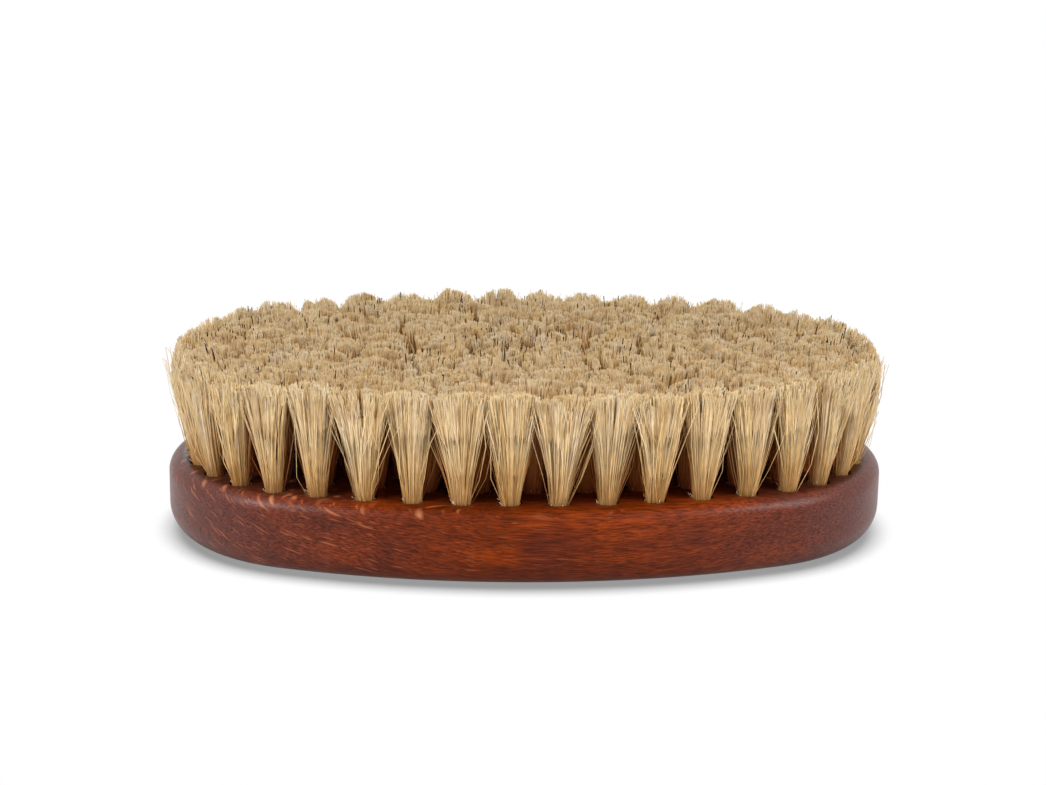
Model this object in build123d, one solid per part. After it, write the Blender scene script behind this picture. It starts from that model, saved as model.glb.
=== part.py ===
from build123d import *
import math
import os

# Shoe shine brush, lying on its back with the bristles up.
# X runs along the block, Y from the near side to the far side and Z up, from the middle of the flat back.
# The block is an oval of four tangent arcs. Blind holes stand in five oval rings in its bristle face, and
# each holds one tuft, folded round a flat wire anchor. The whole field leans outwards, the outer ring most.

# Wooden block
block_length = 130.0
block_width = 70.0
block_thickness = 14.4
end_radius_share = 0.82  # radius of an oval's two ends, as a share of its half width
back_round = 5.6
back_round_steps = 5
face_round = 3.0
face_round_steps = 4

# Holes and their rings
hole_diameter = 4.2
hole_depth = 9.0
hole_sides = 12  # each round hole is cut with this many flats
edge_margin = 5.3  # from the block's outline to the outer ring
end_pitch_share = 0.84  # pitch of the holes round a ring's ends, as a share of the pitch along its sides
outer_lean = 10.3  # degrees that the outer ring leans outwards
ring_names = ("outer_ring", "second_ring", "third_ring", "fourth_ring", "inner_ring")
ring_hole_counts = (38, 30, 26, 20, 14)
ring_start_shares = (0.5, 0.0, 0.5, 0.0, 0.5)  # first hole, in pitches past the middle of the front side
end_zone_share = 0.6  # tufts further out than this share of their ring's half length belong to its end

# Bristle tufts
bristle_height = 20.1  # from the block's face to the level of the trim
side_trim = 0.5  # the outermost hairs are cut this far inside the block's outline
neck_height = 1.0  # the bundle stays round this far out of its hole
fold_height = 1.2  # thickness of the hair folded under the anchor
fit = 0.05  # between the bundle, the hole and the anchor
lock_count = 3
lock_tip_gap = 0.8  # between two locks of one tuft at their tips
tuft_gap = 0.3  # least distance between the tips of two tufts

# Flat wire anchors
anchor_height = 2.0
anchor_thickness = 0.4

overrun = 2.0  # every cut runs this far past the face that it opens

half_length = block_length / 2
half_width = block_width / 2
ring_count = len(ring_names)
ring_gap = (half_width - edge_margin) / (ring_count - 0.5)


def oval_arcs(long_half, short_half):
    """Arcs of an oval as (centre x, centre y, radius, start, sweep), from the middle of the front side."""
    end_radius = end_radius_share * short_half
    end_centre = long_half - end_radius
    side_radius = (end_centre**2 + short_half**2 - end_radius**2) / (2 * (short_half - end_radius))
    side_centre = side_radius - short_half
    join = math.degrees(math.atan2(side_centre, end_centre))
    half_side = 90 - join
    return [
        (0, side_centre, side_radius, -90, half_side),
        (end_centre, 0, end_radius, -join, 2 * join),
        (0, -side_centre, side_radius, join, 2 * half_side),
        (-end_centre, 0, end_radius, 180 - join, 2 * join),
        (0, side_centre, side_radius, 180 + join, half_side),
    ]


def block_section(inset, height):
    """The block's oval outline at one height, moved in from its widest by the same amount all round."""
    outline = oval_arcs(half_length, half_width)
    arcs = [CenterArc((x, y), radius - inset, start, sweep) for x, y, radius, start, sweep in outline]
    return Pos(0, 0, height) * make_face(arcs)


def block():
    """The oval block, with a large quarter-round edge at its back, a small one at its face, and the holes."""
    sections = []
    for step in range(back_round_steps + 1):
        turn = math.pi / 2 * step / back_round_steps
        sections.append(block_section(back_round * (1 - math.sin(turn)), back_round * (1 - math.cos(turn))))
    for step in range(face_round_steps + 1):
        turn = math.pi / 2 * step / face_round_steps
        drop = face_round * (1 - math.sin(turn))
        sections.append(block_section(face_round * (1 - math.cos(turn)), block_thickness - drop))
    body = loft(sections, ruled=True)
    hole = extrude(RegularPolygon(hole_diameter / 2, hole_sides), hole_depth + overrun)
    hole = Pos(0, 0, -hole_depth) * hole
    return body - [mouth * Rot(0, ring["lean"], 0) * hole for ring in rings for mouth in ring["mouths"]]


def ring_mouths(long_half, short_half, count, start_share):
    """Hole mouths round one ring, closer together round its ends. The X axis of each points outwards."""
    arcs = oval_arcs(long_half, short_half)
    pitch_shares = (1, end_pitch_share, 1, end_pitch_share, 1)
    steps = [arc[2] * math.radians(arc[4]) / share for arc, share in zip(arcs, pitch_shares)]
    mouths = []
    for index in range(count):
        travel = (index + start_share) * sum(steps) / count
        for (x, y, radius, start, sweep), step in zip(arcs, steps):
            if travel <= step:
                break
            travel -= step
        angle = start + sweep * travel / step
        out = Vector(1, 0).rotate(Axis.Z, angle)
        mouths.append(Pos(x, y, block_thickness) * Pos(radius * out) * Rot(0, 0, angle))
    return mouths


def make_rings():
    """The five rings from the outside in, each with its inset, half length, lean and hole mouths."""
    outer_half_width = half_width - edge_margin
    made = []
    for index, (count, start_share) in enumerate(zip(ring_hole_counts, ring_start_shares)):
        inset = edge_margin + index * ring_gap
        long_half, short_half = half_length - inset, half_width - inset
        lean = outer_lean * short_half / outer_half_width
        mouths = ring_mouths(long_half, short_half, count, start_share)
        made.append({"inset": inset, "long_half": long_half, "lean": lean, "mouths": mouths})
    return made


def nearest_tips():
    """Least distance between the tips of two tufts, over the whole field."""
    tips = []
    for ring in rings:
        shift = bristle_height * math.tan(math.radians(ring["lean"]))
        tips += [(mouth * Pos(shift, 0, 0)).position for mouth in ring["mouths"]]
    return min((one - other).length for index, one in enumerate(tips) for other in tips[:index])


def lock_corners(angle, scale_share, shift, height):
    """A third of the bundle's hexagon, as a rhombus scaled about the tuft's axis and moved outwards."""
    radius = scale_share * bundle_radius
    out = Vector(1, 0).rotate(Axis.Z, angle)
    corners = [Vector(0, 0)] + [radius * out.rotate(Axis.Z, turn) for turn in (-60, 0, 60)]
    return [corner + shift * out + Vector(0, 0, height) for corner in corners]


def lock(angle):
    """One flat-sided lock of hair, which widens from the neck of its tuft to its tip."""
    tip_shift = lock_tip_gap / (2 * math.sin(math.radians(60)))
    base = lock_corners(angle, 1, 0, neck_height)
    tip = lock_corners(angle, (tip_reach - tip_shift) / bundle_radius, tip_shift, bristle_height + overrun)
    sides = [[base[corner - 1], base[corner], tip[corner], tip[corner - 1]] for corner in range(len(base))]
    return Solid(Shell([Face(Wire.make_polygon(corners)) for corners in [base, tip, *sides]]))


def tuft(lean, inset):
    """One folded bundle: a hexagonal root round the anchor, and three locks that fan out and are trimmed."""
    root_height = hole_depth - fit + neck_height
    root = extrude(RegularPolygon(bundle_radius, 6), root_height)
    root = Pos(0, 0, neck_height - root_height) * root
    window = Box(anchor_thickness + 2 * fit, hole_diameter, anchor_height + 2 * fit)
    root -= Pos(0, 0, anchor_level) * window
    locks = [lock(60 + index * 360 / lock_count) for index in range(lock_count)]
    whole = Rot(0, lean, 0) * root.fuse(*locks)
    level = split(whole, bisect_by=Plane.XY.offset(bristle_height), keep=Keep.BOTTOM)
    return split(level, bisect_by=Plane.YZ.offset(inset - side_trim), keep=Keep.BOTTOM)


def anchor():
    """A short piece of flat wire on edge, which spans its hole through the fold of the tuft."""
    span = hole_diameter - anchor_thickness * math.tan(math.pi / hole_sides) - 2 * fit
    return Pos(0, 0, anchor_level) * Box(anchor_thickness, span, anchor_height)


def side_of(mouth, ring):
    """The side of the brush that a tuft stands on."""
    x, y, _ = mouth.position
    if abs(x) > end_zone_share * ring["long_half"]:
        return "right" if x > 0 else "left"
    return "back" if y > 0 else "front"


def export(name, solids):
    """Write one node: a single solid, or several equal ones as a group."""
    shape = solids[0] if len(solids) == 1 else Compound(children=solids)
    shape.label = name
    export_step(shape, os.path.join("parts", name + ".step"))


rings = make_rings()
bundle_radius = hole_diameter / 2 * math.cos(math.pi / hole_sides) - fit
anchor_level = fold_height + anchor_height / 2 - hole_depth
tip_reach = (nearest_tips() - tuft_gap) / 2

os.makedirs("parts", exist_ok=True)
export("block", [block()])
for ring_name, ring in zip(ring_names, rings):
    ring_tuft = tuft(ring["lean"], ring["inset"])
    ring_anchor = Rot(0, ring["lean"], 0) * anchor()
    for side in ("front", "right", "back", "left"):
        tufts = [mouth * ring_tuft for mouth in ring["mouths"] if side_of(mouth, ring) == side]
        export(f"{ring_name}_{side}_tufts", tufts)
    export(f"{ring_name}_anchors", [mouth * ring_anchor for mouth in ring["mouths"]])
    print(ring_name, len(ring["mouths"]), "tufts")
print("strands", lock_count * sum(len(ring["mouths"]) for ring in rings))
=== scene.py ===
import math

import bmesh
import bpy
import numpy as np
from mathutils import Matrix, Vector


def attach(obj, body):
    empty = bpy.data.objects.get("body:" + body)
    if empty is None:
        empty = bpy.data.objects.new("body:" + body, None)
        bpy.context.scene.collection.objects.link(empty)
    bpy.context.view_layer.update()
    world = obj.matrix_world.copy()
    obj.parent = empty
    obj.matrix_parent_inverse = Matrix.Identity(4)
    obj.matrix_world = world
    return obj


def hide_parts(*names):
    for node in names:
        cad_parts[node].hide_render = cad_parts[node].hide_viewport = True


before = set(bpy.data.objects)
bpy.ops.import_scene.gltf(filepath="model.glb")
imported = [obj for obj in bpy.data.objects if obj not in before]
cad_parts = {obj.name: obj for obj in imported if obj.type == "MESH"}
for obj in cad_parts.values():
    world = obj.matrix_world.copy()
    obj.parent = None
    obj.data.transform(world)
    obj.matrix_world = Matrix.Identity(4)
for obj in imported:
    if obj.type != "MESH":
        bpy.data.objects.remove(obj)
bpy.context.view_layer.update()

# ---- Block ----
# The block is one oval piece of beech with a flat back, both edges rounded over with a moulding cutter.
# It is stained reddish brown, waxed and buffed, and the blind holes for the tufts are drilled from its face.

block_length = 0.130
block_width = 0.070
block_thickness = 0.0144
end_radius_share = 0.82  # radius of an oval's two ends, as a share of its half width
back_round = 0.0056
face_round = 0.0030
round_steps = 12
points_per_arc = 48
crease_angle = math.radians(35)  # edges sharper than this, at the holes, aren't shaded round

hole_diameter = 0.0042
hole_depth = 0.009
hole_sides = 32
edge_margin = 0.0053  # from the block's outline to the outer ring of holes
end_pitch_share = 0.84  # pitch of the holes round a ring's ends, as a share of the pitch along its sides
outer_lean = math.radians(10.3)
ring_names = ("outer_ring", "second_ring", "third_ring", "fourth_ring", "inner_ring")
ring_hole_counts = (38, 30, 26, 20, 14)
ring_start_shares = (0.5, 0.0, 0.5, 0.0, 0.5)  # first hole, in pitches past the middle of the front side
end_zone_share = 0.6  # tufts further out than this share of their ring's half length belong to its end


def oval_arcs(long_half, short_half):
    """Arcs of an oval as (centre x, centre y, radius, start, sweep), from the middle of the front side."""
    end_radius = end_radius_share * short_half
    end_centre = long_half - end_radius
    side_radius = (end_centre**2 + short_half**2 - end_radius**2) / (2 * (short_half - end_radius))
    side_centre = side_radius - short_half
    join = math.atan2(side_centre, end_centre)
    half_side = math.pi / 2 - join
    return [
        (0, side_centre, side_radius, -math.pi / 2, half_side),
        (end_centre, 0, end_radius, -join, 2 * join),
        (0, -side_centre, side_radius, join, 2 * half_side),
        (-end_centre, 0, end_radius, math.pi - join, 2 * join),
        (0, side_centre, side_radius, math.pi + join, half_side),
    ]


def ring_mouths(long_half, short_half, count, start_share):
    """The middle and the outward direction of each hole's mouth round one ring, as (x, y, angle)."""
    arcs = oval_arcs(long_half, short_half)
    pitch_shares = (1, end_pitch_share, 1, end_pitch_share, 1)
    steps = [arc[2] * arc[4] / share for arc, share in zip(arcs, pitch_shares)]
    mouths = []
    for index in range(count):
        travel = (index + start_share) * sum(steps) / count
        for (x, y, radius, start, sweep), step in zip(arcs, steps):
            if travel <= step:
                break
            travel -= step
        angle = start + sweep * travel / step
        mouths.append((x + radius * math.cos(angle), y + radius * math.sin(angle), angle))
    return mouths


rings = []
ring_gap = (block_width / 2 - edge_margin) / (len(ring_names) - 0.5)
for index, (name, count, start_share) in enumerate(zip(ring_names, ring_hole_counts, ring_start_shares)):
    inset = edge_margin + index * ring_gap
    long_half, short_half = block_length / 2 - inset, block_width / 2 - inset
    lean = outer_lean * short_half / (block_width / 2 - edge_margin)
    mouths = ring_mouths(long_half, short_half, count, start_share)
    rings.append({"name": name, "inset": inset, "long_half": long_half, "lean": lean, "mouths": mouths})


def outline(inset, height):
    """The block's oval at one height, moved in from its widest by the same amount all round."""
    points = []
    for x, y, radius, start, sweep in oval_arcs(block_length / 2, block_width / 2):
        for step in range(points_per_arc):
            angle = start + sweep * step / points_per_arc
            reach = radius - inset
            points.append((x + reach * math.cos(angle), y + reach * math.sin(angle), height))
    return points


def piece_from(bm, name):
    """A new object with the mesh of bm."""
    mesh = bpy.data.meshes.new(name)
    bm.to_mesh(mesh)
    bm.free()
    piece = bpy.data.objects.new(name, mesh)
    bpy.context.scene.collection.objects.link(piece)
    return piece


def solid_block():
    """The block before it is drilled, as rows of outline points joined up both rounded edges."""
    turns = [math.pi / 2 * step / round_steps for step in range(round_steps + 1)]
    rows = [outline(back_round * (1 - math.sin(turn)), back_round * (1 - math.cos(turn))) for turn in turns]
    for turn in turns:
        drop = face_round * (1 - math.sin(turn))
        rows.append(outline(face_round * (1 - math.cos(turn)), block_thickness - drop))
    bm = bmesh.new()
    loops = [[bm.verts.new(point) for point in row] for row in rows]
    for lower, upper in zip(loops, loops[1:]):
        for index in range(len(lower)):
            bm.faces.new((lower[index - 1], lower[index], upper[index], upper[index - 1]))
    bm.faces.new(reversed(loops[0]))
    bm.faces.new(loops[-1])
    return piece_from(bm, "waxed_beech_block")


def drills():
    """One round cutter for each hole, leaning as the hole does."""
    bm = bmesh.new()
    length = hole_depth + face_round
    down = Matrix.Translation((0, 0, length / 2 - hole_depth))
    for ring in rings:
        for x, y, angle in ring["mouths"]:
            aim = Matrix.Rotation(angle, 4, "Z") @ Matrix.Rotation(ring["lean"], 4, "Y")
            bmesh.ops.create_cone(
                bm, cap_ends=True, segments=hole_sides, radius1=hole_diameter / 2, radius2=hole_diameter / 2,
                depth=length, matrix=Matrix.Translation((x, y, block_thickness)) @ aim @ down,
            )
    return piece_from(bm, "drills")


block = solid_block()
cutter = drills()
drilling = block.modifiers.new("drilling", "BOOLEAN")
drilling.operation = "DIFFERENCE"
drilling.solver = "EXACT"
drilling.object = cutter
bpy.context.view_layer.update()
drilled = bpy.data.meshes.new_from_object(block.evaluated_get(bpy.context.evaluated_depsgraph_get()))
block.modifiers.clear()
block.data = drilled
bpy.data.objects.remove(cutter)
drilled.shade_smooth()
drilled.set_sharp_from_angle(angle=crease_angle)
soft_edges = block.modifiers.new("even shading", "WEIGHTED_NORMAL")
soft_edges.keep_sharp = True


def linear(colour):
    """An sRGB hex colour as linear red, green, blue and alpha."""
    shares = [int(colour[start : start + 2], 16) / 255 for start in (1, 3, 5)]
    return tuple(s / 12.92 if s <= 0.04045 else ((s + 0.055) / 1.055) ** 2.4 for s in shares) + (1.0,)


def add_node(material, kind, inputs=(), stops=(), **settings):
    """Adds a node with its settings, its inputs as values or links, and a colour ramp's stops."""
    made = material.node_tree.nodes.new(kind)
    for name, value in settings.items():
        setattr(made, name, value)
    for name, value in dict(inputs).items():
        if isinstance(value, bpy.types.NodeSocket):
            material.node_tree.links.new(value, made.inputs[name])
        else:
            made.inputs[name].default_value = value
    while len(stops) > len(made.color_ramp.elements if stops else ()):
        made.color_ramp.elements.new(1.0)
    for index, (position, colour) in enumerate(stops):
        made.color_ramp.elements[index].position = position
        made.color_ramp.elements[index].color = linear(colour)
    return made


def new_material(name):
    """An empty node material, and its output node."""
    material = bpy.data.materials.new(name)
    material.use_nodes = True
    material.node_tree.nodes.clear()
    return material, add_node(material, "ShaderNodeOutputMaterial")


# The stain's own colours, from the early wood of an annual ring to its late wood
early_wood, middle_wood, late_wood = "#4e1a02", "#662502", "#7e3003"
# Thick stain in patches, end grain with a painted grey sheen of reflected light, and painted shade on the
# face between the tufts
thick_stain, end_grain_and_sheen, painted_face_shade = "#4c1d10", "#562e27", "#351a10"
ray_fleck, ray_crescent = "#a35a36", "#c07850"
grain_sweep = -0.0011  # added to a point's height in the grain, per square millimetre from the middle
ray_plates = Vector((0.04, -0.55, 0.83)).normalized()  # the rays' thin plates face up and to the front
ends_from, ends_to = 28.0, 56.0  # millimetres from the middle, over which the wood turns to that of the ends
ends_share = 0.8
pore_depth = 0.00008


def stained_beech():
    """Beech under a reddish brown spirit stain and buffed wax: a warm satin with light ray flecks."""
    wood, output = new_material("stained_waxed_beech")
    place = add_node(wood, "ShaderNodeTexCoord").outputs["Object"]
    millimetres = add_node(
        wood, "ShaderNodeVectorMath", {0: place, "Scale": 1000.0}, operation="SCALE"
    ).outputs[0]
    across = add_node(wood, "ShaderNodeSeparateXYZ", {0: millimetres}).outputs["X"]
    normal = add_node(wood, "ShaderNodeNewGeometry").outputs["Normal"]

    # The grain wanders by 1 mm over about 17 mm. It dips to the right in the left half, and rises again
    # towards the right end
    wander = add_node(wood, "ShaderNodeTexNoise", {"Vector": millimetres, "Scale": 0.06, "Detail": 2.0})
    shift = add_node(
        wood, "ShaderNodeVectorMath", {0: wander.outputs["Color"], 1: (0.5, 0.5, 0.5)}, operation="SUBTRACT"
    )
    shift = add_node(wood, "ShaderNodeVectorMath", {0: shift.outputs[0], "Scale": 2.0}, operation="SCALE")
    bent = add_node(wood, "ShaderNodeVectorMath", {0: millimetres, 1: shift.outputs[0]}, operation="ADD")
    sweep = add_node(wood, "ShaderNodeMath", {0: across, 1: across}, operation="MULTIPLY")
    sweep = add_node(wood, "ShaderNodeMath", {0: sweep.outputs[0], 1: grain_sweep}, operation="MULTIPLY")
    sweep = add_node(wood, "ShaderNodeCombineXYZ", {"Z": sweep.outputs[0]})
    bent = add_node(wood, "ShaderNodeVectorMath", {0: bent.outputs[0], 1: sweep.outputs[0]}, operation="ADD")
    fibres = Vector((1.0, 0.0, 0.0))
    fibres = (fibres - fibres.project(ray_plates)).normalized()
    grain_turn = Matrix((fibres, ray_plates.cross(fibres), ray_plates)).to_euler()
    grain = add_node(
        wood, "ShaderNodeMapping", {"Vector": bent.outputs[0], "Rotation": grain_turn}
    ).outputs[0]

    # Annual rings are 3 to 8 mm wide, and drawn out to 50 mm along the grain
    ring_place = add_node(
        wood, "ShaderNodeVectorMath", {0: grain, 1: (0.02, 0.12, 0.35)}, operation="MULTIPLY"
    ).outputs[0]
    annual = add_node(wood, "ShaderNodeTexNoise", {"Vector": ring_place, "Scale": 1.0, "Detail": 4.0})
    stain = add_node(
        wood, "ShaderNodeValToRGB", {"Fac": annual.outputs["Fac"]},
        stops=[(0.3, early_wood), (0.5, middle_wood), (0.7, late_wood)],
    ).outputs["Color"]
    # Vessel lines are 0.2 to 0.3 mm apart and 4 mm long. Real ones are finer, and wouldn't show
    line_place = add_node(
        wood, "ShaderNodeVectorMath", {0: grain, 1: (0.25, 3.4, 4.8)}, operation="MULTIPLY"
    ).outputs[0]
    lines = add_node(
        wood, "ShaderNodeTexNoise", {"Vector": line_place, "Scale": 1.0, "Detail": 3.0, "Roughness": 0.6}
    ).outputs["Fac"]
    # Stain lies unevenly over patches of about 11 mm, and where it lies thick it is darker and more purple
    patches = add_node(wood, "ShaderNodeTexNoise", {"Vector": millimetres, "Scale": 0.09, "Detail": 5.0})
    thick = add_node(
        wood, "ShaderNodeMapRange", {"Value": patches.outputs["Fac"], 1: 0.50, 2: 0.68, 3: 0.0, 4: 0.75}
    )

    # End grain drinks more stain, so both ends are darker and browner. Their colour is also greyer, a painted
    # sheen of reflected light, and every surface takes more of it towards both ends, which is painted shade
    facing = add_node(wood, "ShaderNodeSeparateXYZ", {0: normal})
    end_stain_and_shade = add_node(wood, "ShaderNodeMath", {0: facing.outputs["X"]}, operation="ABSOLUTE")
    end_stain_and_shade = add_node(
        wood, "ShaderNodeMapRange", {"Value": end_stain_and_shade.outputs[0], 1: 0.05, 2: 0.55, 3: 0.0, 4: 0.9}
    )
    ends = add_node(wood, "ShaderNodeMath", {0: across}, operation="ABSOLUTE")
    ends = add_node(
        wood, "ShaderNodeMapRange",
        {"Value": ends.outputs[0], 1: ends_from, 2: ends_to, 3: 0.0, 4: ends_share},
    ).outputs[0]
    end_stain_and_shade = add_node(wood, "ShaderNodeMath", {0: end_stain_and_shade.outputs[0], 1: ends}, operation="MAXIMUM")
    # Painted shade darkens the face between the tufts, most at the ends
    level = add_node(
        wood, "ShaderNodeMapRange", {"Value": facing.outputs["Z"], 1: 0.9, 2: 1.0, 3: 0.0, 4: 1.0}
    )
    face_shade = add_node(wood, "ShaderNodeMapRange", {"Value": ends, 1: 0.0, 2: ends_share, 3: 0.2, 4: 0.75})
    face_shade = add_node(wood, "ShaderNodeMath", {0: face_shade.outputs[0], 1: level.outputs[0]}, operation="MULTIPLY")
    for share, colour in ((thick, thick_stain), (end_stain_and_shade, end_grain_and_sheen), (face_shade, painted_face_shade)):
        stain = add_node(
            wood, "ShaderNodeMix", {"Factor": share.outputs[0], 6: stain, 7: linear(colour)}, data_type="RGBA"
        ).outputs[2]
    line_tone = add_node(wood, "ShaderNodeMapRange", {"Value": lines, 1: 0.36, 2: 0.64, 3: 0.5, 4: 1.5})
    stain = add_node(
        wood, "ShaderNodeVectorMath", {0: stain, "Scale": line_tone.outputs[0]}, operation="SCALE"
    ).outputs[0]

    # Ray flecks are thin plates across the grain, 1 to 4 mm long, which take less stain and show as light
    # dashes. They are large and many in the left half, where the board was cut near the quarter, and fade to
    # the right. The largest only show where the surface faces along the plates, on the face's rounded edge.
    # Each kind has its spacing and thickness in millimetres, its reach as a share of those, how light it is,
    # where along the block it starts and stops growing rarer, how rare it is there, and if its plates curl
    lengthwise = add_node(
        wood, "ShaderNodeVectorMath", {0: normal, 1: ray_plates}, operation="DOT_PRODUCT"
    ).outputs["Value"]
    lengthwise = add_node(
        wood, "ShaderNodeMapRange", {"Value": lengthwise, 1: 0.72, 2: 0.92, 3: 0.0, 4: 1.0}
    ).outputs[0]
    for spacing, thickness, reach, light, (left, right), (common, rare), curled in (
        (4.0, 1.1, 0.42, 1.0, (-36.0, -14.0), (-0.02, 1.0), True),
        (6.0, 0.46, 0.38, 0.85, (-32.0, 10.0), (0.66, 0.96), False),
        (4.0, 0.32, 0.34, 0.75, (-32.0, 10.0), (0.62, 0.92), False),
        (2.4, 0.24, 0.29, 0.65, (-32.0, 10.0), (0.56, 0.86), False),
    ):
        fleck_place = add_node(
            wood, "ShaderNodeVectorMath", {0: grain, 1: (1 / spacing, 1 / spacing, 1 / thickness)},
            operation="MULTIPLY",
        )
        cells = add_node(wood, "ShaderNodeTexVoronoi", {"Vector": fleck_place.outputs[0], "Scale": 1.0})
        plate = add_node(
            wood, "ShaderNodeMapRange",
            {"Value": cells.outputs["Distance"], 1: reach, 2: reach * 0.5, 3: 0.0, 4: light},
        )
        chance = add_node(wood, "ShaderNodeSeparateColor", {0: cells.outputs["Color"]})
        least = add_node(wood, "ShaderNodeMapRange", {"Value": across, 1: left, 2: right, 3: common, 4: rare})
        chosen = add_node(
            wood, "ShaderNodeMath", {0: chance.outputs[0], 1: least.outputs[0]}, operation="SUBTRACT"
        )
        chosen = add_node(
            wood, "ShaderNodeMapRange", {"Value": chosen.outputs[0], 1: 0.0, 2: 0.3, 3: 0.0, 4: 1.0}
        )
        shares = [chosen.outputs[0]]
        if curled:
            # These plates curl, so only the left edge of each comes to the surface, as a crescent
            inwards = add_node(
                wood, "ShaderNodeVectorMath", {0: cells.outputs["Position"], 1: fleck_place.outputs[0]},
                operation="SUBTRACT",
            )
            inwards = add_node(wood, "ShaderNodeSeparateXYZ", {0: inwards.outputs[0]}).outputs["X"]
            edge = add_node(wood, "ShaderNodeMapRange", {"Value": inwards, 1: 0.0, 2: 0.2, 3: 0.0, 4: 1.0})
            shares += [edge.outputs[0], lengthwise]
        strength = plate.outputs[0]
        for share in shares:
            strength = add_node(
                wood, "ShaderNodeMath", {0: strength, 1: share}, operation="MULTIPLY"
            ).outputs[0]
        fleck = linear(ray_crescent if curled else ray_fleck)
        stain = add_node(
            wood, "ShaderNodeMix", {"Factor": strength, 6: stain, 7: fleck}, data_type="RGBA"
        ).outputs[2]

    # Buffed wax fills the wood between its vessels, and lies thicker at the ends, where no hand wears it off
    sheen = add_node(wood, "ShaderNodeMapRange", {"Value": lines, 1: 0.3, 2: 0.7, 3: 0.42, 4: 0.30})
    pores = add_node(wood, "ShaderNodeBump", {"Height": lines, "Strength": 0.4, "Distance": pore_depth})
    wax = add_node(wood, "ShaderNodeMapRange", {"Value": ends, 1: 0.0, 2: ends_share, 3: 0.10, 4: 0.24})
    surface = add_node(
        wood, "ShaderNodeBsdfPrincipled",
        {"Base Color": stain, "Roughness": sheen.outputs[0], "IOR": 1.5, "Specular IOR Level": wax.outputs[0],
         "Normal": pores.outputs[0]},
    )
    wood.node_tree.links.new(surface.outputs[0], output.inputs["Surface"])
    return wood


drilled.materials.clear()
drilled.materials.append(stained_beech())
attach(block, "root")
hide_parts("block")

# ---- Anchors ----
# Each tuft is folded round a short piece of flat steel wire, which a machine cuts from a coil and drives
# into the hole until it bites in the wood. The anchors are the frame's own nodes, deep under the hair.


def drawn_wire():
    """Flat drawn steel wire: bright, with fine draw lines along it."""
    wire, output = new_material("flat_drawn_steel_wire")
    place = add_node(wire, "ShaderNodeTexCoord").outputs["Object"]
    # Draw lines are a few hundredths of a millimetre apart, and drawn here 0.1 mm apart so that they show
    line_place = add_node(
        wire, "ShaderNodeVectorMath", {0: place, 1: (1200.0, 1200.0, 10000.0)}, operation="MULTIPLY"
    )
    lines = add_node(
        wire, "ShaderNodeTexNoise", {"Vector": line_place.outputs[0], "Scale": 1.0, "Detail": 2.0}
    ).outputs["Fac"]
    tone = add_node(wire, "ShaderNodeValToRGB", {"Fac": lines}, stops=[(0.3, "#9c9892"), (0.7, "#bab6ae")])
    gloss = add_node(wire, "ShaderNodeMapRange", {"Value": lines, 1: 0.3, 2: 0.7, 3: 0.38, 4: 0.24})
    surface = add_node(
        wire, "ShaderNodeBsdfPrincipled",
        {"Base Color": tone.outputs["Color"], "Metallic": 1.0, "Roughness": gloss.outputs[0]},
    )
    wire.node_tree.links.new(surface.outputs[0], output.inputs["Surface"])
    return wire


wire = drawn_wire()
for ring_name in ring_names:
    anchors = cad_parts[ring_name + "_anchors"]
    for material_slot in anchors.material_slots:
        material_slot.material = wire

# ---- Bristle tufts ----
# Each tuft is a bundle of natural bristle, folded in its middle round its anchor and wedged in its hole. Its
# hairs stand tightly at the mouth and fan out in loose locks. Once all the tufts are in, the whole field is
# trimmed level on top, and upright a little inside the block's outline.

bristle_height = 0.0201
side_trim = 0.0005  # the outermost hairs are cut this far inside the block's outline
outer_hairs_per_tuft, hairs_per_tuft = 840, 760
thinnest_hair, thickest_hair = 0.00009, 0.00019
bundle_radius = 0.00148  # at the mouth
root_depth = 0.0012  # hairs are drawn one by one from this far inside the hole, and below it as one bundle
fan = 0.0046  # reach of a tuft's tips from its middle
fan_along, outer_fan_along = 0.0051, 0.0047  # and along its ring
side_fan, end_fan = 0.0009, 0.0022  # and outwards in the outer ring, at the long sides and at the ends
opening = 1.3  # a bundle opens slowly over its mouth and faster further up, as its height to this power
golden_turn = math.pi * (3 - math.sqrt(5))  # from one hair to the next, which spreads them evenly


def lay_tubes(piece, rings_of_points, facing, tone, hair_shade):
    """Adds tubes to a piece's lists, each closed at its end, from points as (tubes, levels, corners, 3)."""
    tubes, levels, corners, _ = rings_of_points.shape
    first = sum(len(points) for points in piece["points"])
    numbers = first + np.arange(tubes * levels * corners).reshape(tubes, levels, corners)
    beside = np.roll(numbers, -1, axis=2)
    walls = np.stack([numbers[:, :-1], beside[:, :-1], beside[:, 1:], numbers[:, 1:]], axis=-1)
    piece["walls"].append(walls.reshape(-1, 4))
    piece["ends"].append(numbers[:, -1])
    piece["points"].append(rings_of_points.reshape(-1, 3))
    piece["facing"].append(facing.reshape(-1, 3))
    piece["tone"].append(np.repeat(tone, levels * corners))
    piece["hair_shade"].append(np.repeat(hair_shade, levels * corners))
    height = np.broadcast_to(np.linspace(0, 1, levels)[None, :, None], (tubes, levels, corners))
    piece["along"].append(height.reshape(-1))
    # Where each corner of each face lies in the tube's own cell of the texture map
    across = np.arange(corners + 1) / corners
    u = np.stack([across[:-1], across[1:], across[1:], across[:-1]], axis=-1)
    v = np.linspace(0, 1, levels)
    v = np.stack([v[:-1], v[:-1], v[1:], v[1:]], axis=-1)
    wall_map = np.stack(np.broadcast_arrays(u[None, None], v[None, :, None]), axis=-1)
    wall_map = np.broadcast_to(wall_map, (tubes, levels - 1, corners, 4, 2))
    piece["wall_map"].append(wall_map.reshape(tubes, -1, 2))
    end_map = np.stack([across[:-1], 1 - 0.1 * (np.arange(corners) % 2)], axis=-1)
    piece["end_map"].append(np.broadcast_to(end_map, (tubes, corners, 2)))


def unit(vectors):
    """Vectors scaled to a length of one."""
    return vectors / np.maximum(np.linalg.norm(vectors, axis=-1, keepdims=True), 1e-9)


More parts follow.
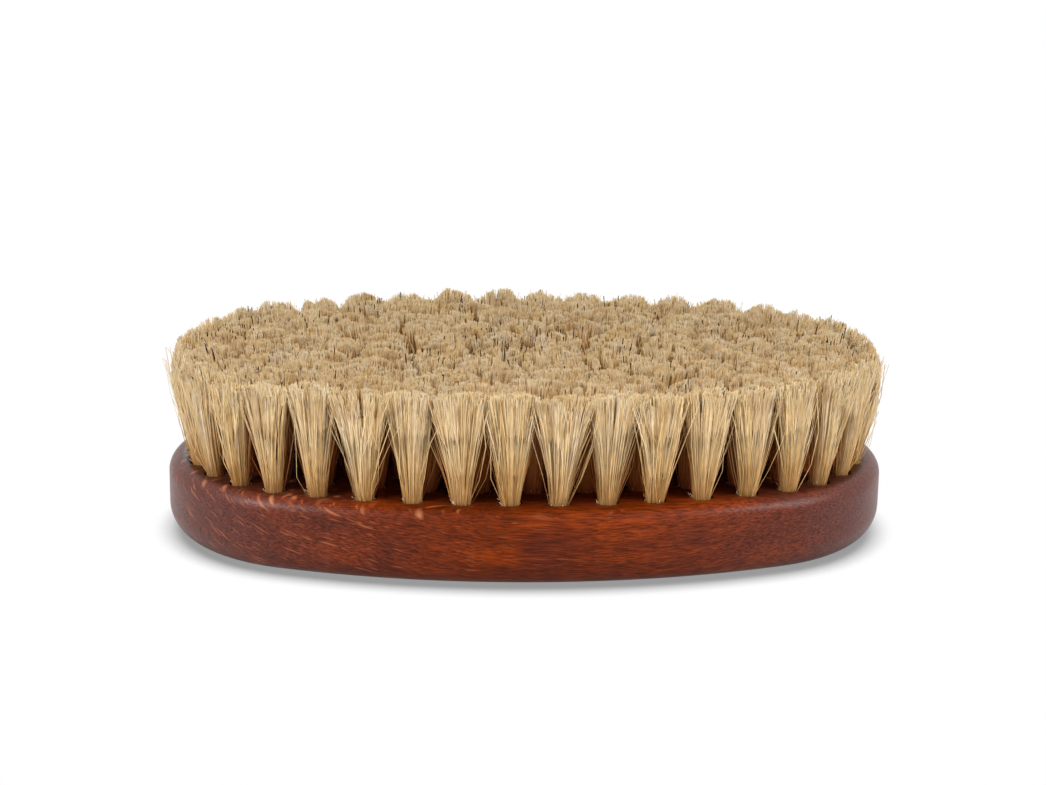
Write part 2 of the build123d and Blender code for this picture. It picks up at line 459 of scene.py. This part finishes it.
bulk_shading = 0.8  # how far a hair is shaded as a part of its tuft
inner_bulk, least_bulk = 0.7, 0.15  # shares of that in the middle of the tuft, and on its inner side
turned_share = 0.5  # how much less of it the sides of a hair take that face the other way
bulk_power = 1.5  # hairs near a tuft's axis take less of its facing outwards
mouth_lift, tip_lift = 0.2, 0.9  # how far a tuft faces up at its mouth, and how much more at its tips


def hair_tubes(paths, widths, lean):
    """Three-sided tubes round the hairs' paths, and the way each of their points faces.

    paths is (hairs, levels, 3), and widths is (hairs, levels). Light passes from hair to hair, so each hair
    is shaded less as a tube of its own than as a part of its tuft, which faces outwards at its side and up
    at its top. Hairs on the inner side of their tuft, and the sides of hairs that face away from how their
    tuft faces, are shaded more as themselves.
    """
    run = np.gradient(paths, axis=1)
    run /= np.linalg.norm(run, axis=2, keepdims=True)
    aside = np.cross(run, np.array([0.3, 0.9, 0.1]))
    aside /= np.linalg.norm(aside, axis=2, keepdims=True)
    other = np.cross(run, aside)
    turns = (2 * math.pi / 3 * np.arange(3))[None, None, :, None]
    start = (golden_turn * np.arange(len(paths)))[:, None, None, None]
    rim = np.cos(turns + start) * aside[:, :, None] + np.sin(turns + start) * other[:, :, None]
    axis = np.array([math.sin(lean), 0.0, math.cos(lean)])
    outwards = paths - (paths @ axis)[..., None] * axis
    travel = np.linspace(0, 1, paths.shape[1])[None, :, None]
    spread = bundle_radius + (fan - bundle_radius) * travel**opening
    reach = np.linalg.norm(outwards, axis=-1, keepdims=True) / spread
    bulk = unit(outwards) * np.minimum(reach, 1) ** bulk_power * (1 - tip_lift * travel**2)
    bulk = unit(bulk + axis * (mouth_lift + tip_lift * travel**2))[:, :, None]
    outer_side = np.clip(inner_bulk + outwards[..., :1] / spread, least_bulk, 1)
    outer_side = 1 - (1 - outer_side) * (1 - travel**3)
    turned_away = np.minimum((rim * bulk).sum(axis=-1, keepdims=True), 0)
    shared = bulk_shading * (1 + turned_share * turned_away) * outer_side[:, :, None]
    facing = unit((1 - shared) * rim + shared * bulk)
    return paths[:, :, None] + rim * widths[:, :, None, None] / 2, facing


def tilted(points, lean):
    """Points in a tuft's own frame, tipped outwards by its lean."""
    x, y, z = points[..., 0], points[..., 1], points[..., 2]
    cos, sin = math.cos(lean), math.sin(lean)
    return np.stack([x * cos + z * sin, y, z * cos - x * sin], axis=-1)


def fans(ring, mouth):
    """How far the tips of a tuft reach outwards from its axis, and along its ring."""
    if ring is not rings[0]:
        return fan, fan_along
    return side_fan + (end_fan - side_fan) * abs(math.cos(mouth[2])), outer_fan_along


# Small locks draw their hairs together at the tips, and leave gaps between them
locks_per_tuft = 19
lock_scatter, lock_drift = 0.06, 0.05  # as shares of the tuft's width, at its mouth and at its tips
lock_pull = (0.2, 0.5)  # how far a lock draws its hairs together
lock_tones, lock_rises = 0.08, 0.00026
tuft_widths, tuft_drift = (0.84, 1.12), 0.0004
hair_drift, bow_size, taper = 0.00012, 0.0002, 0.15

# Some hairs cross their neighbours, splay past their lock from near the tuft's rim, or have a sharp kink
crossing_share, outer_crossing_share, crossing_drift = 0.05, 0.12, 0.0011
loose_rim, loose_share, loose_fans, loose_bow = 0.75, 0.08, (1.1, 1.5), 0.0008
loose_drop, untrimmed_share, past_trim = 0.0025, 0.25, 0.002
kinked_rim, kinked_share, kink_size, kink_height = 0.6, 0.012, 0.0011, 0.35

# The trim comes out a little lower along the near side. Each tuft's own top is rounded, most at the back
trim_rise, trim_slope, tuft_rises, hair_rises = 0.0006, 0.0005, 0.0002, 0.0001
rounding, outer_rounding, back_rounding, rounding_power = 0.0009, 0.0018, 0.0010, 2.4
side_trim_error, side_trim_spread = -0.0002, 0.00015
side_rounding, end_rounding, side_rounding_power = 0.0002, 0.0011, 8
least_kept, trim_steps = 0.4, 61  # the side trim leaves at least this share of a hair

# Most hairs are cream to tan, a few are ochre or nearly white, and here and there a thick dark one stands out
darkest_tan, middle_tan, tan_range = 0.12, 0.36, 0.38
ochre_share, ochre_tone, pale_share = 0.04, 0.5, 0.03
dark_share, outer_dark_share, dark_rises = 0.0034, 0.0016, (0.0002, 0.0010)
# Painted shade, with the warm colour of light that has passed through hair, falls on the inner rings and on
# the outer ring's hairs from the middle of each tuft inwards
hair_shade_middle, hair_shade_slope = 0.3, 1.2  # the outer ring is sheltered from the middle of each tuft inwards


def tuft_hairs(rng, ring, mouth, count, levels):
    """Paths, widths, tones and painted shade of one tuft's hairs, from the middle of its mouth, with X
    outwards.
    """
    lean = ring["lean"]
    share = np.sqrt((np.arange(count) + 0.5) / count)
    turn = golden_turn * np.arange(count) + rng.uniform(0, 2 * math.pi)
    seat = np.stack([share * np.cos(turn), share * np.sin(turn)], axis=-1)

    lock_turn = golden_turn * np.arange(locks_per_tuft) + rng.uniform(0, 2 * math.pi)
    lock_share = np.sqrt((np.arange(locks_per_tuft) + 0.5) / locks_per_tuft)
    middles = np.stack([lock_share * np.cos(lock_turn), lock_share * np.sin(lock_turn)], axis=-1)
    middles += rng.normal(0, lock_scatter, middles.shape)
    lock = np.argmin(np.linalg.norm(seat[:, None] - middles[None], axis=2), axis=1)
    pull = rng.uniform(*lock_pull, locks_per_tuft)[lock][:, None]
    drift = rng.normal(0, lock_drift, (locks_per_tuft, 2))[lock]
    own_tone = rng.normal(0, lock_tones, locks_per_tuft)[lock]
    own_rise = rng.normal(0, lock_rises, locks_per_tuft)[lock]

    outer = ring is rings[0]
    outwards, along = fans(ring, mouth)
    along *= rng.uniform(*tuft_widths)
    tip = seat + pull * (middles[lock] - seat) + drift
    tip = tip * np.stack([np.where(tip[:, 0] > 0, outwards, fan), np.full(count, along)], axis=-1)
    tip += rng.normal(0, tuft_drift, 2) + rng.normal(0, hair_drift, (count, 2))
    crossing = rng.random(count) < (outer_crossing_share if outer else crossing_share)
    tip[crossing] += rng.normal(0, crossing_drift, (crossing.sum(), 2))
    level = trim_rise + trim_slope * mouth[1] / (block_width / 2)
    rounded = (outer_rounding + back_rounding * math.sin(mouth[2])) if outer else rounding
    rise = rng.normal(level, tuft_rises) + own_rise + rng.normal(0, hair_rises, count)
    rise -= rounded * share**rounding_power
    bow = rng.normal(0, bow_size, (count, 2))

    loose = (share > loose_rim) & (rng.random(count) < loose_share)
    tip[loose] *= rng.uniform(*loose_fans, (loose.sum(), 1))
    bow[loose] += rng.normal(0, loose_bow, (loose.sum(), 2))
    rise[loose] -= rng.uniform(0, loose_drop, loose.sum())

    tone = np.clip(middle_tan + tan_range * rng.random(count) + own_tone, darkest_tan, 1)
    tone[rng.random(count) < ochre_share] *= ochre_tone
    tone[rng.random(count) < pale_share] = 1.0
    dark = rng.random(count) < rng.exponential(outer_dark_share if outer else dark_share)
    tone[dark] = 0.0
    rise[dark] += rng.uniform(*dark_rises, dark.sum())

    end = (bristle_height + rise + tip[:, 0] * math.sin(lean)) / math.cos(lean)
    # The upright trim, rounded over at its top, shortens the hairs that lean out past it
    steps = np.linspace(least_kept, 1, trim_steps)
    first = seat[:, :1] * bundle_radius
    outwards_at = first + (tip[:, :1] * math.cos(lean) + end[:, None] * math.sin(lean) - first) * steps
    limit = ring["inset"] - side_trim + rng.normal(side_trim_error, side_trim_spread, (count, 1))
    rounded = side_rounding + end_rounding * abs(math.cos(mouth[2]))
    limit = limit - rounded * (end[:, None] * steps / bristle_height) ** side_rounding_power
    limit[loose & (rng.random(count) < untrimmed_share)] += past_trim
    past = outwards_at > limit
    kept = steps[np.where(np.any(past, axis=1), np.argmax(past, axis=1), -1)]
    tip = seat * bundle_radius + (tip - seat * bundle_radius) * kept[:, None]
    end = end * kept

    travel = np.linspace(0, 1, levels)[None, :]
    height = -root_depth + (end[:, None] + root_depth) * travel
    opened = np.clip(height / end[:, None], 0, 1) ** opening
    bend = np.sin(math.pi * travel)
    flat = seat[:, None] * bundle_radius
    flat = flat + (tip[:, None] - flat) * opened[..., None] + bow[:, None] * bend[..., None]
    kinked = (share > kinked_rim) & (rng.random(count) < kinked_share)
    kink = np.interp(travel[0], (0, kink_height, 1), (0, 1, 0))
    flat[kinked] += rng.normal(0, kink_size, (kinked.sum(), 1, 2)) * kink[None, :, None]
    paths = np.concatenate([flat, height[..., None]], axis=-1)
    widths = rng.uniform(thinnest_hair, thickest_hair, (count, 1)) * (1 - taper * travel)
    widths[dark] = thickest_hair
    # Painted shade: on the outer ring it grows from the middle of the tuft inwards, and further in every hair
    # takes all of it
    hair_shade = np.clip(hair_shade_middle - hair_shade_slope * seat[:, 0], 0, 1) if outer else np.ones(count)
    return tilted(paths, lean), widths, tone, hair_shade


stub_counts, stub_levels = (3, 7), 3  # from three to six in a tuft
stub_turns = (-math.pi / 2, 0.9)  # most stand on the left of their tuft, seen from outside
stub_slopes, stub_lengths, stub_bend = (0.7, 2.5), (0.0005, 0.0014), 0.00008
stub_foot = -0.1  # the height of a stub's foot, in bundle radii above the mouth
stub_tones = (0.5, 1)


def broken_stubs(rng, lean, hair_shade):
    """Short broken hairs that stick out round the rim of a tuft's mouth."""
    count, levels = rng.integers(*stub_counts), stub_levels
    turn = rng.normal(*stub_turns, count)
    aim = np.stack([np.cos(turn), np.sin(turn), rng.uniform(*stub_slopes, count)], axis=-1)
    aim /= np.linalg.norm(aim, axis=1, keepdims=True)
    seat = np.stack([np.cos(turn), np.sin(turn), np.full(count, stub_foot)], axis=-1) * bundle_radius
    length = rng.uniform(*stub_lengths, count)
    paths = seat[:, None] + aim[:, None] * length[:, None, None] * np.linspace(0, 1, levels)[None, :, None]
    paths[:, 1:] += rng.normal(0, stub_bend, (count, levels - 1, 3))
    widths = np.full((count, levels), thinnest_hair)
    return tilted(paths, lean), widths, rng.uniform(*stub_tones, count), np.full(count, hair_shade)


root_radius = 0.00198
legs_top, legs_bottom = -0.0004, -0.0078  # of the folded bundle, from the mouth
fold_rows = ((0.0015, -0.00895), (root_radius, -0.0083), (root_radius, legs_bottom))  # radius and height
anchor_gap = 0.00025  # from a leg's flat side to the middle of the anchor
bundle_tone = 0.35
leg_points, fold_points = 8, 12


def folded_root(lean):
    """The part of a tuft inside its hole: two half-round legs beside the anchor, and the fold under it."""
    half = np.linspace(-math.pi / 2, math.pi / 2, leg_points)
    leg = np.stack([np.maximum(root_radius * np.cos(half), anchor_gap), root_radius * np.sin(half)], axis=-1)
    legs = []
    for turn in (1, -1):
        rows = [np.column_stack([turn * leg, np.full(len(leg), end)]) for end in (legs_bottom, legs_top)]
        legs.append(tilted(np.array(rows), lean))
    full = np.linspace(0, 2 * math.pi, fold_points, endpoint=False)
    fold = np.stack([np.cos(full), np.sin(full)], axis=-1)
    rows = [np.column_stack([radius * fold, np.full(len(fold), height)]) for radius, height in fold_rows]
    return np.array(legs), tilted(np.array(rows), lean)[None]


core_share, core_height = 0.78, 0.0172  # as a share of its tuft's width, and its top
outer_core_share, outer_core_height = 0.66, 0.0155
core_narrowing = 0.75
core_points, core_levels = 16, 9


def dense_core(ring, mouth):
    """The middle of a tuft, whose hairs stand too close to tell apart, as one form that narrows upwards."""
    turn = np.linspace(0, 2 * math.pi, core_points, endpoint=False)
    share, top = (outer_core_share, outer_core_height) if ring is rings[0] else (core_share, core_height)
    seat = share * np.stack([np.cos(turn), np.sin(turn)], axis=-1)
    outwards, along = fans(ring, mouth)
    tip = seat * np.stack([np.where(seat[:, 0] > 0, outwards, fan), np.full(len(turn), along)], axis=-1)
    height = np.linspace(0, top, core_levels)
    opened = (height / bristle_height) ** opening
    narrowed = 1 - core_narrowing * (height / top) ** 3
    flat = seat * bundle_radius + (tip - seat * bundle_radius) * opened[:, None, None]
    flat = flat * narrowed[:, None, None]
    rows = np.concatenate([flat, np.broadcast_to(height[:, None, None], flat.shape[:2] + (1,))], axis=-1)
    return tilted(rows, ring["lean"])[None]


def placed(points, facing, mouth):
    """Points about a hole's mouth and the ways they face, moved to the mouth's place in the block's face."""
    x, y, angle = mouth
    turn = np.array(Matrix.Rotation(angle, 3, "Z")).T
    return points @ turn + np.array([x, y, block_thickness]), facing @ turn


cell_margin = 0.1


def bristle_piece(name, ring, mouths, count, levels, rng, material):
    """One piece with the hairs of all the tufts at these mouths."""
    keys = ("points", "facing", "walls", "ends", "tone", "along", "hair_shade", "wall_map", "end_map")
    lists = {key: [] for key in keys}
    # The hairs, stubs, roots and cores of the inner rings take the painted shade in full
    lean, inside = ring["lean"], 0.0 if ring is rings[0] else 1.0
    for mouth in mouths:
        hairs, stubs = tuft_hairs(rng, ring, mouth, count, levels), broken_stubs(rng, lean, inside)
        for paths, widths, *looks in (hairs, stubs):
            lay_tubes(lists, *placed(*hair_tubes(paths, widths, lean), mouth), *looks)
        for form in (*folded_root(lean), dense_core(ring, mouth)):
            facing = unit(form - form.mean(axis=2, keepdims=True))
            looks = np.full(len(form), bundle_tone), np.full(len(form), inside)
            lay_tubes(lists, *placed(form, facing, mouth), *looks)

    # The texture map is a square of cells, one for each tube, with a margin round each
    cells = sum(len(part) for part in lists["wall_map"])
    columns = math.ceil(math.sqrt(cells))
    faces, corners_map, used = [], [], 0
    parts = (lists[key] for key in ("walls", "wall_map", "ends", "end_map"))
    for walls, wall_map, ends, end_map in zip(*parts):
        number = used + np.arange(len(wall_map))
        used += len(wall_map)
        corner = np.stack([number % columns, number // columns], axis=-1)[:, None]
        faces += [walls, ends]
        placed_maps = (corner + cell_margin + (1 - 2 * cell_margin) * part for part in (wall_map, end_map))
        corners_map += [part.reshape(-1, 2) / columns for part in placed_maps]

    points = np.concatenate(lists["points"])
    mesh = bpy.data.meshes.new(name)
    mesh.vertices.add(len(points))
    mesh.vertices.foreach_set("co", points.astype(np.float32).ravel())
    sizes = np.concatenate([np.full(len(part), part.shape[1]) for part in faces])
    mesh.loops.add(int(sizes.sum()))
    mesh.loops.foreach_set("vertex_index", np.concatenate([part.ravel() for part in faces]).astype(np.int32))
    mesh.polygons.add(len(sizes))
    mesh.polygons.foreach_set("loop_start", np.concatenate([[0], np.cumsum(sizes)[:-1]]).astype(np.int32))
    mesh.update(calc_edges=True)
    mesh.shade_smooth()
    mesh.normals_split_custom_set_from_vertices(np.concatenate(lists["facing"]).astype(np.float32))
    texture_map = mesh.uv_layers.new(name="OFBake")
    texture_map.uv.foreach_set("vector", np.concatenate(corners_map).astype(np.float32).ravel())
    for key in ("tone", "along", "hair_shade"):
        values = np.concatenate(lists[key]).astype(np.float32)
        mesh.attributes.new(key, "FLOAT", "POINT").data.foreach_set("value", values)
    mesh.materials.append(material)
    piece = bpy.data.objects.new(name, mesh)
    bpy.context.scene.collection.objects.link(piece)
    return piece


def natural_bristle():
    """Unbleached natural bristle: matt cream to ochre hairs, a few dark ones, and painted shade deep between
    the tufts.
    """
    bristle, output = new_material("natural_bristle")
    tone, along, hair_shade = (
        add_node(bristle, "ShaderNodeAttribute", attribute_name=name).outputs["Fac"]
        for name in ("tone", "along", "hair_shade")
    )
    place = add_node(bristle, "ShaderNodeTexCoord").outputs["Object"]
    hair = add_node(
        bristle, "ShaderNodeValToRGB", {"Fac": tone},
        stops=[
            (0.0, "#341e10"), (0.05, "#6b4420"), (0.14, "#d0a66a"), (0.45, "#ecd2a0"),
            (0.8, "#f2e2c6"), (1.0, "#f6ecda"),
        ],
    ).outputs["Color"]
    # Each hair is warmer and darker near its root, which also paints the shade at a tuft's crowded mouth, and
    # greyer at its split tip. Hairs deep between the tufts take painted shade instead: darker, warm roots
    # that paint the light passing through the hair, and greyer tips
    open_hair = add_node(
        bristle, "ShaderNodeValToRGB", {"Fac": along},
        stops=[(0.0, "#b08a64"), (0.3, "#d8c0a2"), (0.6, "#eae0d2"), (0.88, "#fcf6ee"), (1.0, "#f4efe8")],
    )
    shaded_hair = add_node(
        bristle, "ShaderNodeValToRGB", {"Fac": along},
        stops=[(0.0, "#9a5236"), (0.4, "#c08458"), (0.85, "#d0ab7e"), (1.0, "#dcd5cd")],
    )
    shade = add_node(
        bristle, "ShaderNodeMix",
        {"Factor": hair_shade, 6: open_hair.outputs["Color"], 7: shaded_hair.outputs["Color"]}, data_type="RGBA",
    ).outputs[2]
    hair = add_node(
        bristle, "ShaderNodeMix", {"Factor": 1.0, 6: hair, 7: shade}, data_type="RGBA", blend_type="MULTIPLY"
    ).outputs[2]
    # Some patches of the field, 5 to 6 mm across, are greyer
    patches = add_node(bristle, "ShaderNodeVectorMath", {0: place, "Scale": 180.0}, operation="SCALE")
    patches = add_node(
        bristle, "ShaderNodeTexNoise", {"Vector": patches.outputs[0], "Scale": 1.0, "Detail": 2.0}
    )
    grey = add_node(
        bristle, "ShaderNodeMapRange", {"Value": patches.outputs["Fac"], 1: 0.5, 2: 0.7, 3: 0.0, 4: 0.6}
    )
    hair = add_node(
        bristle, "ShaderNodeMix", {"Factor": grey.outputs[0], 6: hair, 7: linear("#d8c8b8")},
        data_type="RGBA", blend_type="MULTIPLY",
    ).outputs[2]
    # Streaks 0.4 mm apart and 2 mm long vary single hairs along their length
    streak_place = add_node(
        bristle, "ShaderNodeVectorMath", {0: place, 1: (2500.0, 2500.0, 500.0)}, operation="MULTIPLY"
    )
    streaks = add_node(
        bristle, "ShaderNodeTexNoise", {"Vector": streak_place.outputs[0], "Scale": 1.0, "Detail": 2.0}
    ).outputs["Fac"]
    streak_tone = add_node(bristle, "ShaderNodeMapRange", {"Value": streaks, 1: 0.3, 2: 0.7, 3: 0.85, 4: 1.1})
    hair = add_node(
        bristle, "ShaderNodeVectorMath", {0: hair, "Scale": streak_tone.outputs[0]}, operation="SCALE"
    ).outputs[0]
    # A single hair's gloss is too fine to show, so the bundle as a whole is matt
    gloss = add_node(bristle, "ShaderNodeMapRange", {"Value": streaks, 1: 0.3, 2: 0.7, 3: 0.65, 4: 0.5})
    surface = add_node(
        bristle, "ShaderNodeBsdfPrincipled",
        {"Base Color": hair, "Roughness": gloss.outputs[0], "IOR": 1.55, "Specular IOR Level": 0.0},
    )
    bristle.node_tree.links.new(surface.outputs[0], output.inputs["Surface"])
    return bristle


bristle = natural_bristle()
for ring_number, ring in enumerate(rings):
    sides = {"front": [], "right": [], "back": [], "left": []}
    for mouth in ring["mouths"]:
        if abs(mouth[0]) > end_zone_share * ring["long_half"]:
            sides["right" if mouth[0] > 0 else "left"].append(mouth)
        else:
            sides["back" if mouth[1] > 0 else "front"].append(mouth)
    for side_number, (side, mouths) in enumerate(sides.items()):
        node_name = f"{ring['name']}_{side}_tufts"
        rng = np.random.default_rng(10 * ring_number + side_number)
        levels = 4 if ring_number < 2 else 3  # only the ends of the hairs show further in
        hairs = hairs_per_tuft if ring_number else outer_hairs_per_tuft
        piece_name = node_name.replace("tufts", "bristles")
        tufts = bristle_piece(piece_name, ring, mouths, hairs, levels, rng, bristle)
        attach(tufts, "root")
        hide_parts(node_name)

# ---- Floor ----
# A plain white table, which takes the brush's soft shadow close by. Seen directly or in a reflection it is
# plain white apart from that shadow, and all other light falls on pale paper.

floor_half = 1.5
shadow_reach = 0.008
plain_white = (1.0, 1.0, 1.0, 1.0)


def seen_rays(material):
    """1 for what is seen directly, in a reflection or through something clear, and 0 for all other light."""
    rays = add_node(material, "ShaderNodeLightPath").outputs
    seen = add_node(
        material, "ShaderNodeMath", {0: rays["Is Camera Ray"], 1: rays["Is Glossy Ray"]}, operation="ADD"
    )
    return add_node(
        material, "ShaderNodeMath", {0: seen.outputs[0], 1: rays["Is Transmission Ray"]}, operation="ADD"
    ).outputs[0]


bm = bmesh.new()
bmesh.ops.create_grid(bm, x_segments=1, y_segments=1, size=floor_half)
floor = piece_from(bm, "floor")
paper, output = new_material("white_paper_sweep")
lit = add_node(paper, "ShaderNodeBsdfDiffuse", {"Color": linear("#dcdcdc")})
open_sky = add_node(paper, "ShaderNodeAmbientOcclusion", {"Distance": shadow_reach})
shade = add_node(
    paper, "ShaderNodeMapRange", {"Value": open_sky.outputs["AO"], 1: 0.33, 2: 0.73, 3: 0.32, 4: 1.0}
)
white = add_node(paper, "ShaderNodeEmission", {"Color": plain_white, "Strength": shade.outputs[0]})
paper_mix = add_node(
    paper, "ShaderNodeMixShader", {0: seen_rays(paper), 1: lit.outputs[0], 2: white.outputs[0]}
)
paper.node_tree.links.new(paper_mix.outputs[0], output.inputs["Surface"])
floor.data.materials.append(paper)

# ---- Light ----
# Two soft boxes stand in front of the brush, far to the left and right, with a weaker one behind. The room is
# pale, and plain white where it is seen.

lamp_distance = 0.8


def soft_box(name, azimuth, elevation, size, power):
    """A square lamp that faces the brush. Azimuth 0 is in front of it and 90 on its right."""
    a, e = math.radians(azimuth), math.radians(elevation)
    aim = Vector((math.sin(a) * math.cos(e), -math.cos(a) * math.cos(e), math.sin(e)))
    lamp = bpy.data.objects.new(name, bpy.data.lights.new(name, "AREA"))
    lamp.data.energy = power
    lamp.data.size = size
    lamp.location = aim * lamp_distance
    lamp.rotation_mode = "QUATERNION"
    lamp.rotation_quaternion = aim.to_track_quat("Z", "Y")
    bpy.context.scene.collection.objects.link(lamp)


soft_box("left_soft_box", -57, 38, 0.3, 4.1)
soft_box("right_soft_box", 57, 38, 0.3, 3.8)
soft_box("back_soft_box", 180, 30, 0.4, 1.0)

room = bpy.data.worlds.new("pale_room")
room.use_nodes = True
room.node_tree.nodes.clear()
output = add_node(room, "ShaderNodeOutputWorld")
strength = add_node(room, "ShaderNodeMapRange", {"Value": seen_rays(room), 3: 0.60, 4: 1.0})
air = add_node(room, "ShaderNodeBackground", {"Color": plain_white, "Strength": strength.outputs[0]})
room.node_tree.links.new(air.outputs[0], output.inputs["Surface"])
bpy.context.scene.world = room

# ---- Camera ----
# Placed by a fit to the block's outline and the outer ring's tufts in the photograph of 1046 by 785 pixels.

photo_width = 1046
focal_pixels = 2624.136
distance = 0.485385
elevation, yaw, roll = math.radians(16.844), math.radians(3.044), math.radians(0.872)
off_axis = (-0.0007, 0.02418)  # where the camera looks, right of and above the middle of the back

right = Vector((1, 0, 0))
up = Vector((0, math.sin(elevation), math.cos(elevation)))
ahead = Vector((0, math.cos(elevation), -math.sin(elevation)))
place = off_axis[0] * right + off_axis[1] * up - distance * ahead
rolled_right = math.cos(roll) * right + math.sin(roll) * up
rolled_up = math.cos(roll) * up - math.sin(roll) * right
turn = Matrix.Rotation(-yaw, 3, "Z")
axes = Matrix([turn @ rolled_right, turn @ rolled_up, turn @ -ahead]).transposed()
camera = bpy.data.objects.new("camera", bpy.data.cameras.new("camera"))
camera.data.sensor_fit = "HORIZONTAL"
camera.data.sensor_width = 36.0
camera.data.lens = focal_pixels / photo_width * camera.data.sensor_width
camera.data.clip_start = 0.01
camera.matrix_world = Matrix.Translation(turn @ place) @ axes.to_4x4()
bpy.context.scene.collection.objects.link(camera)
bpy.context.scene.camera = camera
bpy.context.scene.view_settings.view_transform = "Standard"

bpy.context.view_layer.update()
